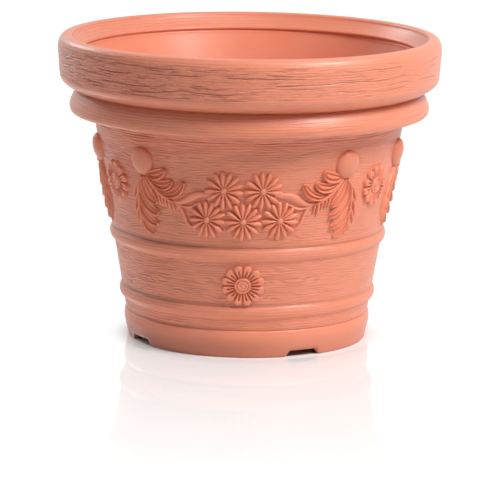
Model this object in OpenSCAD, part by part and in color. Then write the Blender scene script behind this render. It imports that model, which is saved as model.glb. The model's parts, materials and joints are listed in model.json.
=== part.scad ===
// Round festooned planter: a tapering shell with a rolled rim, an inner liner,
// push-in drain plugs, and moulded sprigs of flowers and leaves.
// The origin is on the ground under the middle, +Z is up, and a festoon faces -Y.

/* [Overall] */
// Height from the ground to the top of the rolled rim
pot_height = 397; // [385:1:420]
// Widest diameter, across the face of the rolled rim
rim_diameter = 500; // [492:1:530]

/* [Shell] */
// Thickness of the outer shell
shell_wall = 4; // [3:0.5:5]
// Diameter of the tapering wall where it leaves the base band
wall_low_diameter = 318; // [308:1:322]
// Diameter of the tapering wall just under the bead
wall_high_diameter = 407; // [400:1:412]
// Diameter at the ground
foot_diameter = 312; // [306:1:316]
// Diameter of the base band where it is fullest
band_diameter = 322.4; // [322:0.2:326]
// Height of the base band
band_height = 36; // [30:1:42]
// Width of the ring that the pot stands on
foot_ring_width = 9; // [7:0.5:12]
// Height of the underside of the floor above the ground
floor_lift = 12; // [11:0.5:16]
// Thickness of the floor of the shell
floor_thickness = 4; // [3:0.5:6]

/* [Hoops] */
// Height of the middle of the lower hoop
low_hoop_height = 61; // [56:1:66]
// Height of the middle of the upper hoop
high_hoop_height = 138; // [132:1:144]
// Width of a hoop
hoop_width = 18; // [14:0.5:20]
// How far a hoop stands out of the wall
hoop_proud = 4.5; // [3:0.25:6]

/* [Rim] */
// From the top of the rim down to the crease above the bead
rim_band_height = 64.5; // [61:0.5:68]
// Height of the bead under the rim band
bead_height = 36.5; // [34:0.5:39]
// Diameter of the bead
bead_diameter = 469.6; // [464:0.2:474]
// Depth of the crease between the bead and the rim band
crease_depth = 4; // [3:0.25:5]
// Radius of the cove between the wall and the bead
cove_radius = 11; // [8:0.5:13]
// Width of the top of the roll, from the face to the inner edge
roll_width = 18.5; // [16:0.5:22]
// Inner diameter of the lip
lip_diameter = 438; // [430:1:442]
// From the top of the rim down to the middle of the lip
lip_drop = 20; // [17:0.5:24]
// Rounding of the lip
lip_radius = 3; // [2.5:0.25:3.5]
// Width of the flat under the lip
lip_land = 5; // [4:0.5:7]

/* [Roundings] */
// Height of the edge that is broken at the ground
foot_edge = 1; // [0.5:0.1:2]
// Height of the rounding at the top of the base band
band_rounding = 10; // [6:1:14]
// Height of the rounding at the top of the rim band
face_rounding = 17; // [12:1:22]
// How far the face of the rim band leans in at its foot
face_lean = 2.8; // [1.6:0.2:4]
// Height of the slope under the face, down to the crease
slope_height = 17.5; // [15:0.5:20]
// Height of the bend in that slope above the crease
slope_bend = 6; // [4:0.5:8]
// Width of the rounding at the top of the rim band
roll_rounding = 12; // [8:1:14]
// Depth of the rounding at the inner edge of the roll
roll_drop = 4.5; // [3:0.5:7]
// Width of the rounding under the bead
bead_fold = 6.5; // [4:0.5:8]
// Height of the roundings of the bead
bead_rounding = 9; // [6:0.5:10]
// Rounding of the corners of a notch
notch_corner = 4; // [2:0.5:6]
// Rounding between the floor and the wall of the liner
liner_rounding = 10; // [6:1:14]
// Height over which the liner bends from the taper to the lip
liner_bend = 30; // [20:1:40]

/* [Liner] */
// Thickness of the liner
liner_wall = 2.5; // [2:0.25:3.5]
// Gap between the liner and the shell along the tapering wall
liner_gap = 2.5; // [1:0.25:4]
// How far the liner lies behind the edge of the lip
liner_recess = 1.6; // [1:0.2:2.5]
// Width of the flange at the top of the liner
liner_flange = 7; // [5:0.5:9]

/* [Drainage] */
// Angle of the first notch, and the drain hole beside it, from the middle of a festoon
notch_turn = 30; // [20:1:40]
// Width of a notch at the ground
notch_width = 52; // [40:1:60]
// Height of a notch
notch_height = 8; // [6:0.5:9]
// Diameter of a drain hole
drain_diameter = 20; // [14:1:26]
// Diameter of the circle that the drain holes lie on
drain_circle = 196; // [150:2:220]
// Clearance around the stem of a plug
plug_clearance = 0.1; // [0.05:0.01:0.1]
// Width of the flange of a plug outside its stem
plug_flange = 6; // [4:0.5:8]
// Thickness of the flange of a plug
plug_flange_height = 3; // [2:0.5:4]
// How far a plug reaches below the floor
plug_reach = 2; // [1:0.5:4]

/* [Ornament] */
// Gap between the back of a sprig and the wall
sprig_seat = 0.15; // [0.12:0.01:0.25]
// Height of a festoon flower above the wall
flower_relief = 5.5; // [4:0.25:7]
// Radius of a festoon flower
flower_radius = 25; // [22:0.5:26]
// Number of petals of a festoon flower
flower_petals = 13; // [9:1:15]
// Height of a leaf above the wall
leaf_relief = 5.5; // [4:0.25:7]
// Height of a knob above the wall
knob_relief = 9; // [7:0.5:11]
// Half width of a knob
knob_half_width = 17.6; // [15.6:0.2:18]
// Height of a knob above its middle
knob_half_height = 17.4; // [15.4:0.2:17.6]
// Radius of a rosette
rosette_radius = 26.6; // [22:0.2:28]
// Number of looped petals of a rosette
rosette_petals = 12; // [10:1:14]
// Height of a rosette above the wall
rosette_relief = 4.5; // [3:0.25:6]
// How far a rosette lies below the middle between the hoops
rosette_drop = 2; // [-3:0.5:4]
// How far a daisy lies above the middle of a festoon
gap_rise = 2; // [-3:0.5:5]

/* [Hidden] */

clay = [0.90, 0.56, 0.46];
clay_light = [0.95, 0.62, 0.51];
plug_colour = [0.55, 0.30, 0.24];
turn_steps = 120;
round_steps = 64;
festoons = 3;
drains = 4;

// Heights that the rim and the wall share
rim_radius = rim_diameter / 2;
crease_z = pot_height - rim_band_height;
bead_z = crease_z - bead_height;
neck_z = bead_z - cove_radius;
lip_z = pot_height - lip_drop;
lip_radius_in = lip_diameter / 2;
land_z = lip_z - lip_radius;
face_low_z = crease_z + slope_height;
slope_lean = face_lean * 2.3;
face_high_z = pot_height - face_rounding;
band_full_z = band_height - band_rounding;
floor_z = floor_lift + floor_thickness;
bead_radius = bead_diameter / 2;
crease_radius = bead_radius - crease_depth;
taper = (wall_high_diameter - wall_low_diameter) / 2 / (bead_z - band_height);

// Radius of the outside of the tapering wall at a height
function wall_r(z) = wall_low_diameter / 2 + taper * (z - band_height);

// Points of a quadratic curve from a to c, pulled towards b
function curve(a, b, c, steps) =
    [for (i = [0:steps]) let (t = i / steps) (1 - t) * (1 - t) * a + 2 * t * (1 - t) * b + t * t * c];

// Points of an arc
function arc(centre, radius, from, to, steps) =
    [for (i = [0:steps]) let (t = from + (to - from) * i / steps) centre + radius * [cos(t), sin(t)]];

// Outline of a hoop: an arc that stands out of the tapering wall, square to it
function hoop(z) =
    let (
        radius = (pow(hoop_width / 2, 2) + pow(hoop_proud, 2)) / (2 * hoop_proud),
        lean = atan(taper),
        half = asin(hoop_width / 2 / radius),
        centre = [wall_r(z), z] + (hoop_proud - radius) * [cos(lean), -sin(lean)]
    )
    arc(centre, radius, -lean - half, -lean + half, 10);

// Outside of the shell, from the ground up and over the roll to the lip.
// A curve starts just past the end of the one before it, a step away.
step = 1;
shell_outside = concat(
    [[foot_diameter / 2 - foot_edge, 0]],
    curve([foot_diameter / 2, foot_edge], [(foot_diameter + band_diameter) / 4, band_height / 3],
        [band_diameter / 2, band_full_z - step], 5),
    curve([band_diameter / 2, band_full_z], [band_diameter / 2, band_height],
        [wall_r(band_height), band_height], 5),
    hoop(low_hoop_height),
    hoop(high_hoop_height),
    curve([wall_r(neck_z), neck_z], [wall_r(bead_z), bead_z],
        [wall_r(bead_z) + cove_radius, bead_z], 6),
    curve([bead_radius - bead_fold, bead_z], [bead_radius, bead_z],
        [bead_radius, bead_z + bead_rounding], 6),
    curve([bead_radius, bead_z + bead_rounding + step], [bead_radius, crease_z - bead_rounding],
        [crease_radius, crease_z], 6),
    curve([crease_radius + step, crease_z + step / 2], [rim_radius - slope_lean, crease_z + slope_bend],
        [rim_radius - face_lean, face_low_z], 8),
    curve([rim_radius, face_high_z], [rim_radius, pot_height],
        [rim_radius - roll_rounding, pot_height], 8),
    curve([rim_radius - roll_rounding - step, pot_height], [rim_radius - roll_width, pot_height],
        [rim_radius - roll_width, pot_height - roll_drop], 4),
    arc([lip_radius_in + lip_radius, lip_z], lip_radius, 135, 270, 8)
);

// Inside of the shell, from the lip back down to the floor and the foot ring
inner_bead_r = bead_radius - shell_wall;
inner_crease_r = crease_radius - shell_wall;
inner_rim_r = rim_radius - shell_wall;
shell_inside = concat(
    [[lip_radius_in + lip_land, land_z]],
    curve([rim_radius - roll_rounding - step, pot_height - shell_wall],
        [inner_rim_r, pot_height - shell_wall], [inner_rim_r, face_high_z], 6),
    curve([inner_rim_r - face_lean, face_low_z + step],
        [inner_rim_r - slope_lean, crease_z + slope_bend + shell_wall * 0.8],
        [crease_radius + step, crease_z + shell_wall], 6),
    [[inner_crease_r, crease_z + step]],
    curve([inner_crease_r, crease_z - step], [inner_bead_r, crease_z - bead_rounding],
        [inner_bead_r, bead_z + bead_rounding + step], 5),
    curve([inner_bead_r, bead_z + bead_rounding], [inner_bead_r, bead_z + shell_wall],
        [inner_bead_r - bead_fold + step, bead_z + shell_wall], 4),
    curve([wall_r(bead_z) + cove_radius, bead_z + shell_wall],
        [wall_r(bead_z) - shell_wall, bead_z + shell_wall], [wall_r(neck_z) - shell_wall, neck_z], 6),
    [
        [wall_r(floor_z) - shell_wall, floor_z],
        [0, floor_z],
        [0, floor_lift],
        [foot_diameter / 2 - foot_ring_width, floor_lift],
        [foot_diameter / 2 - foot_ring_width, 0]
    ]
);

// Radius of the inside of the liner along the tapering wall
function liner_r(z) = wall_r(z) - shell_wall - liner_gap - liner_wall;

// Inside of the liner, from the floor up to the lip
liner_floor_z = floor_z + liner_wall;
liner_top_r = lip_radius_in + liner_recess;
liner_bend_z = neck_z + liner_bend;
liner_inside = concat(
    [[0, liner_floor_z]],
    curve([liner_r(liner_floor_z) - liner_rounding, liner_floor_z],
        [liner_r(liner_floor_z), liner_floor_z],
        [liner_r(liner_floor_z + liner_rounding), liner_floor_z + liner_rounding], 6),
    curve([liner_r(neck_z), neck_z], [liner_r(liner_bend_z), liner_bend_z],
        [liner_top_r, land_z - liner_wall], 10),
    [[liner_top_r, land_z]]
);

// Outside of the liner, from the flange back down to the floor
outer_rounding = liner_rounding + liner_wall;
liner_outside = concat(
    [
        [liner_top_r + liner_flange, land_z],
        [liner_top_r + liner_flange, land_z - liner_wall]
    ],
    curve([liner_top_r + liner_wall, land_z - liner_wall],
        [liner_r(liner_bend_z) + liner_wall, liner_bend_z],
        [liner_r(neck_z) + liner_wall, neck_z], 10),
    curve([liner_r(floor_z + outer_rounding) + liner_wall, floor_z + outer_rounding],
        [liner_r(floor_z) + liner_wall, floor_z],
        [liner_r(floor_z) + liner_wall - outer_rounding, floor_z], 6),
    [[0, floor_z]]
);

module turned(outline) {
    rotate_extrude($fn = turn_steps) polygon(outline);
}

// Turns a child to the side of a drain
module at_drain(number) {
    rotate([0, 0, notch_turn + (number - 1) * 360 / drains]) children();
}

// The drain holes through one floor, from its underside
module drain_holes(underside, thickness) {
    for (number = [1:drains])
        at_drain(number)
            translate([0, -drain_circle / 2, underside - 1])
                cylinder(d = drain_diameter, h = thickness + 2, $fn = round_steps);
}

module outer_shell() {
    color(clay) difference() {
        turned(concat(shell_outside, shell_inside));
        for (number = [1:drains]) at_drain(number) notch();
        drain_holes(floor_lift, floor_thickness);
    }
}

// A notch lies across the foot ring and past both its faces, with slanted sides and rounded corners
module notch() {
    side = notch_width / 2;
    top_side = side - notch_corner;
    past = 4;
    outline = concat(
        [[-side, -past], [side, -past], [side, 0]],
        curve([(side + top_side) / 2, notch_height / 2], [top_side, notch_height],
            [top_side - notch_corner, notch_height], 4),
        curve([notch_corner - top_side, notch_height], [-top_side, notch_height],
            [-(side + top_side) / 2, notch_height / 2], 4),
        [[-side, 0]]
    );
    rotate([90, 0, 0])
        translate([0, 0, foot_diameter / 2 - foot_ring_width - past])
            linear_extrude(height = foot_ring_width + 4 * past) polygon(outline);
}

module inner_liner() {
    color(clay_light) difference() {
        turned(concat(liner_inside, liner_outside));
        drain_holes(floor_z, liner_wall);
    }
}

// A plug lies with its flange on the liner and its stem through both floors
module drain_plug(number) {
    stem = drain_diameter / 2 - plug_clearance;
    bottom = floor_lift - plug_reach;
    lead = 1;
    color(plug_colour) at_drain(number) translate([0, -drain_circle / 2, 0]) {
        translate([0, 0, bottom]) cylinder(r1 = stem - lead, r2 = stem, h = lead, $fn = round_steps);
        translate([0, 0, bottom + lead])
            cylinder(r = stem, h = liner_floor_z - bottom - lead, $fn = round_steps);
        translate([0, 0, liner_floor_z])
            cylinder(r = drain_diameter / 2 + plug_flange, h = plug_flange_height, $fn = round_steps);
    }
}

// The ornament lies on the tapering wall. A place on it is [across, up] in millimetres,
// measured from the middle of a festoon or from the middle of a rosette.
garland_z = (high_hoop_height + hoop_width / 2 + neck_z) / 2;
band_mid_z = (low_hoop_height + high_hoop_height) / 2 - rosette_drop;

// The point at a place, a height above the wall
function on_wall(place, mid_z, height) =
    let (
        z = mid_z + place.y,
        turn = place.x / wall_r(mid_z) * 180 / PI,
        radius = wall_r(z) + height
    )
    [radius * sin(turn), -radius * cos(turn), z];

// Unit direction of a run of stops at one of them
function heading(stops, i) =
    let (
        a = stops[max(i - 1, 0)],
        b = stops[min(i + 1, len(stops) - 1)],
        run = [b[0] - a[0], b[1] - a[1]]
    )
    run / norm(run);

// Cross-sections of a blade, as [share of the half width, share of the relief].
// A dip above 0 sinks the middle of a scoop, and one below 0 rounds its shoulders instead.
// The last place of a scoop keeps its back on the curved wall.
function ridge() = [[-1, 0], [0, 1], [1, 0]];
function scoop(dip) =
    let (
        shoulder = dip < 0 ? 0.7 : 1,
        middle = dip < 0 ? 1 : 1 - dip
    )
    [[-1, 0], [-0.7, shoulder], [0, middle], [0.7, shoulder], [1, 0], [0, 0]];

// A raised blade along stops, each [across, up, half width, relief, dip of the middle]
module blade(stops, mid_z, hollow = true) {
    n = hollow ? 6 : 3;
    last = len(stops) - 1;
    middle = hollow ? 2 : 1;
    points = [
        for (i = [0:last])
            let (way = heading(stops, i), s = stops[i], square = [way.y, -way.x] * s[2])
            for (p = hollow ? scoop(s[4]) : ridge())
                on_wall([s[0], s[1]] + square * p[0], mid_z, sprig_seat + p[1] * s[3])
    ];
    sides = [
        for (i = [0:last - 1])
            for (j = [0:n - 1])
                let (a = i * n + j, b = i * n + (j + 1) % n)
                each [[a, b + n, b], [a, a + n, b + n]]
    ];
    start = [for (j = [1:n - 2]) [middle, (middle + j) % n, (middle + j + 1) % n]];
    end = [for (f = start) [last * n + f[0], last * n + f[2], last * n + f[1]]];
    polyhedron(points = points, faces = concat(sides, start, end), convexity = 4);
}

// A closed form over loops of points, the back one first, with a point behind and one in front
module capped(loops, behind, front) {
    n = len(loops[0]);
    last = len(loops) - 1;
    back = n * (last + 1);
    points = concat([for (loop = loops) each loop], [behind, front]);
    sides = [
        for (k = [0:last - 1])
            for (i = [0:n - 1])
                let (a = k * n + i, b = k * n + (i + 1) % n)
                each [[a, b + n, b], [a, a + n, b + n]]
    ];
    ends = [
        for (i = [0:n - 1])
            let (j = (i + 1) % n)
            each [[back, i, j], [back + 1, last * n + j, last * n + i]]
    ];
    polyhedron(points = points, faces = concat(sides, ends), convexity = 4);
}

// A round boss on the wall from rings of [radius, relief], widest first
module boss(place, mid_z, rings, top, steps) {
    loops = [
        for (r = rings) [
            for (i = [0:steps - 1])
                let (turn = i * 360 / steps)
                on_wall(place + r[0] * [cos(turn), sin(turn)], mid_z, sprig_seat + r[1])
        ]
    ];
    capped(loops, on_wall(place, mid_z, sprig_seat), on_wall(place, mid_z, sprig_seat + top));
}

// A petal of a festoon flower: stops of [share of the radius, half width, share of the relief]
petal_stops = [[0.08, 1.0, 0.85], [0.36, 1.9, 0.9], [0.68, 3.3, 1], [0.9, 2.6, 0.8], [1, 0.7, 0.3]];
eye_radius = 3.6;
eye_rise = 1.6;

// A festoon flower: slender raised petals round a small dome
module star_flower(place, mid_z) {
    for (i = [0:flower_petals - 1]) {
        turn = 90 + i * 360 / flower_petals;
        way = [cos(turn), sin(turn)];
        blade([
            for (s = petal_stops)
                let (p = place + way * s[0] * flower_radius)
                [p.x, p.y, s[1], s[2] * flower_relief, 0]
        ], mid_z, hollow = false);
    }
    boss(place, mid_z, [
        [eye_radius, 0],
        [eye_radius * 0.94, flower_relief],
        [eye_radius * 0.55, flower_relief + eye_rise * 0.75]
    ], flower_relief + eye_rise, 10);
}

// A looped petal: stops of [share of the radius, share of its half width, share of the relief, dip]
loop_stops = [
    [0.36, 0.36, 0.7, 0.3], [0.62, 0.58, 0.95, 0.6], [0.84, 0.8, 1, 0.6],
    [0.95, 0.62, 0.85, 0.05], [1, 0.3, 0.4, 0]
];
// The ringed disc in the middle: rings of [share of its radius, share of the relief]
disc_share = 0.4;
disc_rings = [[1, 0], [0.94, 1], [0.8, 1], [0.66, 0.6], [0.5, 1], [0.2, 1.05]];
disc_middle = 0.8;

// A rosette: looped petals with sunken middles round a ringed disc
module looped_rosette(mid_z) {
    disc = rosette_radius * disc_share;
    half = rosette_radius * tan(180 / rosette_petals);
    for (i = [0:rosette_petals - 1]) {
        turn = 90 + (i + 0.5) * 360 / rosette_petals;
        way = [cos(turn), sin(turn)];
        blade([
            for (s = loop_stops)
                let (p = way * s[0] * rosette_radius)
                [p.x, p.y, s[1] * half, s[2] * rosette_relief, s[3]]
        ], mid_z);
    }
    boss([0, 0], mid_z, [for (r = disc_rings) [r[0] * disc, r[1] * rosette_relief]],
        rosette_relief * disc_middle, 16);
}

// Five flowers and the ribbons that tie them to the leaves
flower_places = [[-24.4, 7], [24.4, 7], [0, -33.5], [-47.3, -32], [47.3, -32]];
module bouquet(number) {
    color(clay_light) festoon(number) {
        for (place = flower_places) star_flower(place, garland_z);
        for (side = [-1, 1]) {
            for (stops = [upper_ribbon, middle_ribbon, lower_ribbon])
                blade(sided(stops, side), garland_z);
        }
    }
}

upper_ribbon = [
    [93, -11.8, 1.4, 2.4, -1], [85.5, -12.2, 2.6, 3.2, -1], [77.5, -9.6, 4.2, 3.8, -1],
    [68.6, -4.6, 5.4, 4, -1], [58.5, -0.2, 4.8, 3.8, -1], [49, 0.8, 3.8, 3.4, -1],
    [41, 1.5, 2.6, 3, -1]
];
middle_ribbon = [
    [91.4, -14.4, 1.2, 2.2, -1], [77, -17.4, 1.8, 2.8, -1], [69, -16.6, 2.1, 3, -1],
    [62, -12.9, 1.7, 2.8, -1], [57, -10.5, 1.1, 2.2, -1]
];
lower_ribbon = [
    [91.2, -13.4, 1.4, 2.4, -1], [82.7, -20, 2.3, 3.4, -1], [78.8, -28.5, 2.5, 3.6, -1],
    [76, -36, 2.4, 3.6, -1], [71.2, -42, 2.1, 3, -1], [64, -46, 1.3, 2.2, -1]
];

function sided(stops, side) = [for (s = stops) [s[0] * side, s[1], s[2], s[3], s[4]]];

module festoon(number) {
    rotate([0, 0, (number - 1) * 360 / festoons]) children();
}

// The leaf that runs from a knob to the flowers: a stem, three curled lobes and small fingers
swag_stem = [
    [131, 16.4, 1.8, 0.8, -1], [126, 10.5, 2.8, 1, -1], [119.5, 3.5, 2.8, 1, -1],
    [111.5, -3.5, 2.6, 0.95, -1], [102.5, -9, 2.2, 0.85, -1], [95.2, -12.4, 1.1, 0.5, -1]
];
swag_lobes = [
    [[124.6, 20.4, 3, 0.9, 0.3], [121, 20.4, 6.2, 1.1, 0.5], [114.5, 21.6, 7.6, 1.15, 0.6],
        [108.8, 24, 6.8, 1.1, 0.5], [105.2, 27, 4.6, 0.9, 0.2], [103, 29.4, 1.8, 0.4, 0]],
    [[121, 11.2, 2.8, 0.9, 0.3], [114.5, 8.6, 5.9, 1.1, 0.5], [106.5, 8.3, 7.3, 1.15, 0.6],
        [100, 10, 6.6, 1.1, 0.5], [95.6, 13, 4.4, 0.9, 0.2], [92.8, 15.4, 1.8, 0.4, 0]],
    [[108, -2.6, 2, 0.8, 0.3], [99.5, -3.2, 4.8, 1.1, 0.5], [91.5, -0.9, 6.4, 1.15, 0.6],
        [84.6, 3.6, 6.6, 1.15, 0.6], [80, 9, 5, 1, 0.3], [77, 13.6, 2, 0.5, 0]]
];
swag_fingers = [
    [[120, 2.5, 1.6, 0.6, 0], [118, -7.6, 0.9, 0.3, 0]],
    [[115.5, -2, 1.6, 0.6, 0], [114.3, -11, 1.9, 0.7, 0], [113.6, -19, 0.8, 0.2, 0]],
    [[110.5, -4.5, 1.7, 0.6, 0], [109.6, -12.5, 1.9, 0.7, 0], [109, -19, 0.8, 0.2, 0]],
    [[105.5, -7.5, 1.6, 0.6, 0], [104.6, -14.5, 1.9, 0.7, 0], [104, -20.5, 0.8, 0.2, 0]],
    [[100, -10, 1.8, 0.6, 0], [99, -19, 2.7, 0.8, 0], [97.5, -29, 0.8, 0.2, 0]],
    [[96, -12.5, 1.4, 0.5, 0], [94.6, -19, 1.7, 0.6, 0], [93.4, -26, 0.7, 0.2, 0]]
];

function raised(stops, side) = [for (s = stops) [s[0] * side, s[1], s[2], s[3] * leaf_relief, s[4]]];

module swag_leaf(number, side) {
    color(clay_light) festoon(number) {
        blade(raised(swag_stem, side), garland_z);
        for (stops = swag_lobes) blade(raised(stops, side), garland_z);
        for (stops = swag_fingers) blade(raised(stops, side), garland_z, hollow = false);
    }
}

// The leaf that hangs from a knob: a rounded body under fat lobes towards the flowers, and
// thin fingers outwards
hanging_stem = [
    [142, 15.6, 2, 0.8, -1], [146, 6, 2.6, 1.1, -1], [148.8, -10, 2.7, 1.1, -1],
    [149.2, -26, 2.5, 1.1, -1], [148, -42, 2.2, 1, -1], [145.5, -60, 0.8, 0.3, -1]
];
hanging_body = [
    [138, 12, 5, 0.4, -1], [136, 0, 9.6, 0.6, -1], [135, -14, 11.4, 0.7, -1],
    [135.4, -28, 11.6, 0.7, -1], [137, -42, 10, 0.6, -1], [140, -54, 6.4, 0.4, -1]
];
hanging_lobes = [
    [[137.6, 12.6, 4, 0.9, 0.3], [133.8, 3, 6.9, 1.1, 0.5], [129, -6, 7.2, 1.2, 0.5],
        [124.4, -12, 5.4, 1, 0.3], [120.6, -16, 2.4, 0.6, 0]],
    [[145.4, -4, 2.8, 0.9, 0.3], [139.6, -12.8, 5.6, 1.1, 0.5], [131.4, -21.4, 6.3, 1.2, 0.5],
        [124.4, -27.2, 5, 1, 0.3], [119.6, -30.6, 2.2, 0.6, 0]],
    [[147.4, -20, 2.8, 0.9, 0.3], [141.8, -29, 5.5, 1.1, 0.5], [134.4, -36.6, 6.3, 1.2, 0.5],
        [127.6, -42, 5, 1, 0.3], [122.8, -45.4, 2.2, 0.6, 0]],
    [[147.6, -35, 2.4, 0.9, 0.3], [143.4, -43.6, 4.6, 1, 0.4], [137.6, -50.4, 5, 1, 0.4],
        [132.4, -54.8, 4, 0.8, 0.2], [128.8, -57.4, 1.8, 0.4, 0]]
];
hanging_fingers = [
    [[147.5, 9, 1.6, 0.7, 0], [155.5, -2, 2, 0.8, 0], [162, -14, 0.8, 0.2, 0]],
    [[149.2, -5, 1.6, 0.7, 0], [157, -18, 2, 0.8, 0], [163.5, -34, 0.8, 0.2, 0]],
    [[149.5, -21, 1.6, 0.7, 0], [156, -32, 2, 0.8, 0], [161.6, -44, 0.8, 0.2, 0]],
    [[148.5, -36, 1.5, 0.6, 0], [152, -45, 1.8, 0.7, 0], [154, -53, 0.8, 0.2, 0]]
];

module hanging_leaf(number, side) {
    color(clay_light) festoon(number) {
        blade(raised(hanging_stem, side), garland_z);
        blade(raised(hanging_body, side), garland_z);
        for (stops = hanging_lobes) blade(raised(stops, side), garland_z);
        for (stops = hanging_fingers) blade(raised(stops, side), garland_z, hollow = false);
    }
}

// A knob is egg-shaped: a little longer and narrower below its middle
knob_place = [137.4, 37];
knob_lower = 1.1;
knob_taper = 0.15;
knob_steps = 18;
// Rings of [share of the outline, share of the relief], with a smaller one behind the widest
knob_rings = [[0.5, 0], [1, 0], [0.97, 0.3], [0.85, 0.66], [0.6, 0.9], [0.3, 0.98]];

// The outline of a knob, turning from its top
function knob_edge(turn) =
    let (
        below = cos(turn) < 0,
        draw_in = below ? 1 - knob_taper * pow(cos(turn), 2) : 1,
        half_height = knob_half_height * (below ? knob_lower : 1)
    )
    [knob_half_width * sin(turn) * draw_in, half_height * cos(turn)];

module knob(number, side) {
    middle = [knob_place.x * side, knob_place.y];
    loops = [
        for (r = knob_rings) [
            for (i = [0:knob_steps - 1])
                on_wall(middle + r[0] * knob_edge(-i * 360 / knob_steps), garland_z,
                    sprig_seat + r[1] * knob_relief)
        ]
    ];
    color(clay_light) festoon(number)
        capped(loops, on_wall(middle, garland_z, sprig_seat),
            on_wall(middle, garland_z, sprig_seat + knob_relief));
}

module rosette(number) {
    color(clay_light) festoon(number) looped_rosette(band_mid_z);
}

module gap_daisy(number) {
    color(clay_light) festoon(number) rotate([0, 0, 180 / festoons]) looped_rosette(garland_z + gap_rise);
}

outer_shell();
inner_liner();
drain_plug(1);  // drain_plug_1
drain_plug(2);  // drain_plug_2
drain_plug(3);  // drain_plug_3
drain_plug(4);  // drain_plug_4
bouquet(1);  // bouquet_1
bouquet(2);  // bouquet_2
bouquet(3);  // bouquet_3
swag_leaf(1, -1);  // swag_leaf_left_1
swag_leaf(2, -1);  // swag_leaf_left_2
swag_leaf(3, -1);  // swag_leaf_left_3
swag_leaf(1, 1);  // swag_leaf_right_1
swag_leaf(2, 1);  // swag_leaf_right_2
swag_leaf(3, 1);  // swag_leaf_right_3
knob(1, -1);  // knob_left_1
knob(2, -1);  // knob_left_2
knob(3, -1);  // knob_left_3
knob(1, 1);  // knob_right_1
knob(2, 1);  // knob_right_2
knob(3, 1);  // knob_right_3
hanging_leaf(1, -1);  // hanging_leaf_left_1
hanging_leaf(2, -1);  // hanging_leaf_left_2
hanging_leaf(3, -1);  // hanging_leaf_left_3
hanging_leaf(1, 1);  // hanging_leaf_right_1
hanging_leaf(2, 1);  // hanging_leaf_right_2
hanging_leaf(3, 1);  // hanging_leaf_right_3
rosette(1);  // rosette_1
rosette(2);  // rosette_2
rosette(3);  // rosette_3
gap_daisy(1);  // gap_daisy_1
gap_daisy(2);  // gap_daisy_2
gap_daisy(3);  // gap_daisy_3
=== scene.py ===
import json
import math

import bmesh
import bpy
import numpy as np
from mathutils import Matrix, Quaternion, Vector, noise

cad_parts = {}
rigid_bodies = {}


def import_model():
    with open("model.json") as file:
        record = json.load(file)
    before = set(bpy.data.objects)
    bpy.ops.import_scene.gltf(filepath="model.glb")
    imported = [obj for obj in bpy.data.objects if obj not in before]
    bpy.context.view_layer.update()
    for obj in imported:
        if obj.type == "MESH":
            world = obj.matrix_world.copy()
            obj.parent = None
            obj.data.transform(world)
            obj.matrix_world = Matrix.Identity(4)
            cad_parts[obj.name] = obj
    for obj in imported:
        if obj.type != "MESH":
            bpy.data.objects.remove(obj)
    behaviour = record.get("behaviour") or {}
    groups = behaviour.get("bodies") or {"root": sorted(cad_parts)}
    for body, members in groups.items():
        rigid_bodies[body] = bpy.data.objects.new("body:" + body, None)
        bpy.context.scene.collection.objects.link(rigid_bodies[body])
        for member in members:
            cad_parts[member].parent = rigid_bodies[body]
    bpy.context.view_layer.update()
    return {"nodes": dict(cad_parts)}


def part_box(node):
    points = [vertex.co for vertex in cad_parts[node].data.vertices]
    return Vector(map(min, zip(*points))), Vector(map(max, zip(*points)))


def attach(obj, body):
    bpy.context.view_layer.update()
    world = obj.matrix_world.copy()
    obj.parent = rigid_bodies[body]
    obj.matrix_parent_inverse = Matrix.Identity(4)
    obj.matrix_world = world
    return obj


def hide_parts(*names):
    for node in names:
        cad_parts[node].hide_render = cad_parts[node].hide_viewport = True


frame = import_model()
print("frame loaded:", len(frame["nodes"]), "nodes")

# Sizes below are in millimetres, and mm brings them to the frame's metres
mm = 0.001
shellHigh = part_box("outer_shell")[1]
linerLow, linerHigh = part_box("inner_liner")
potHeight = shellHigh.z / mm
rimRadius = shellHigh.x / mm
landZ = linerHigh.z / mm          # the flat under the lip, where the liner's flange hangs
linerBackZ = linerLow.z / mm      # top of the shell's floor
festoons = 3


def smoothStep(value):
    value = np.clip(value, 0.0, 1.0)
    return value * value * (3 - 2 * value)


def smoothed(value):
    # the same for one number, which is quicker for each vertex
    value = min(max(value, 0.0), 1.0)
    return value * value * (3 - 2 * value)


# The moulded texture is deeper on one side of the pot, and the painted shade in its grooves and creases is
# darker there
wearAndShade = {
    "turn": -60,
    "least": 0.22,
    "most": 1.85,
    "creaseShade": (0.25, 1.5),      # least share of the painted shade in creases, and how fast it falls to that
    "sprigShade": (0.12, 1.3),     # the same for the painted shade on the sprigs
    "grooveShadeDepth": 0.5,         # a groove of this depth gets the full painted shade
}


def wearAndShadeShare(x, y):
    # 1 in the middle of the worn and shaded side, 0 across the pot from it
    return 0.5 + 0.5 * math.cos(math.atan2(x, -y) - math.radians(wearAndShade["turn"]))


def wear(x, y):
    return wearAndShade["least"] + (wearAndShade["most"] - wearAndShade["least"]) * wearAndShadeShare(x, y)


# the share of painted shade at a point, most on the worn and shaded side
def shadeShareAt(vert, kind):
    least, power = wearAndShade[kind]
    return least + (1 - least) * wearAndShadeShare(vert.co.x, vert.co.y) ** power


def noiseAt(x, y, z, size, moveX=0, moveY=0):
    # soft noise; size is its length round the pot and its height
    return noise.noise(Vector((x / size[0] + moveX, y / size[0] + moveY, z / size[1])))


# Outlines: lists of [radius, height], made of quadratic curves and arcs
def curve(a, b, c, count=24):
    a, b, c = np.array(a, float), np.array(b, float), np.array(c, float)
    return [(1 - t) ** 2 * a + 2 * t * (1 - t) * b + t * t * c for t in np.linspace(0, 1, count + 1)]


def arc(centre, radius, start, end, count=16):
    turns = np.radians(np.linspace(start, end, count + 1))
    return [(centre[0] + radius * math.cos(t), centre[1] + radius * math.sin(t)) for t in turns]


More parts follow.
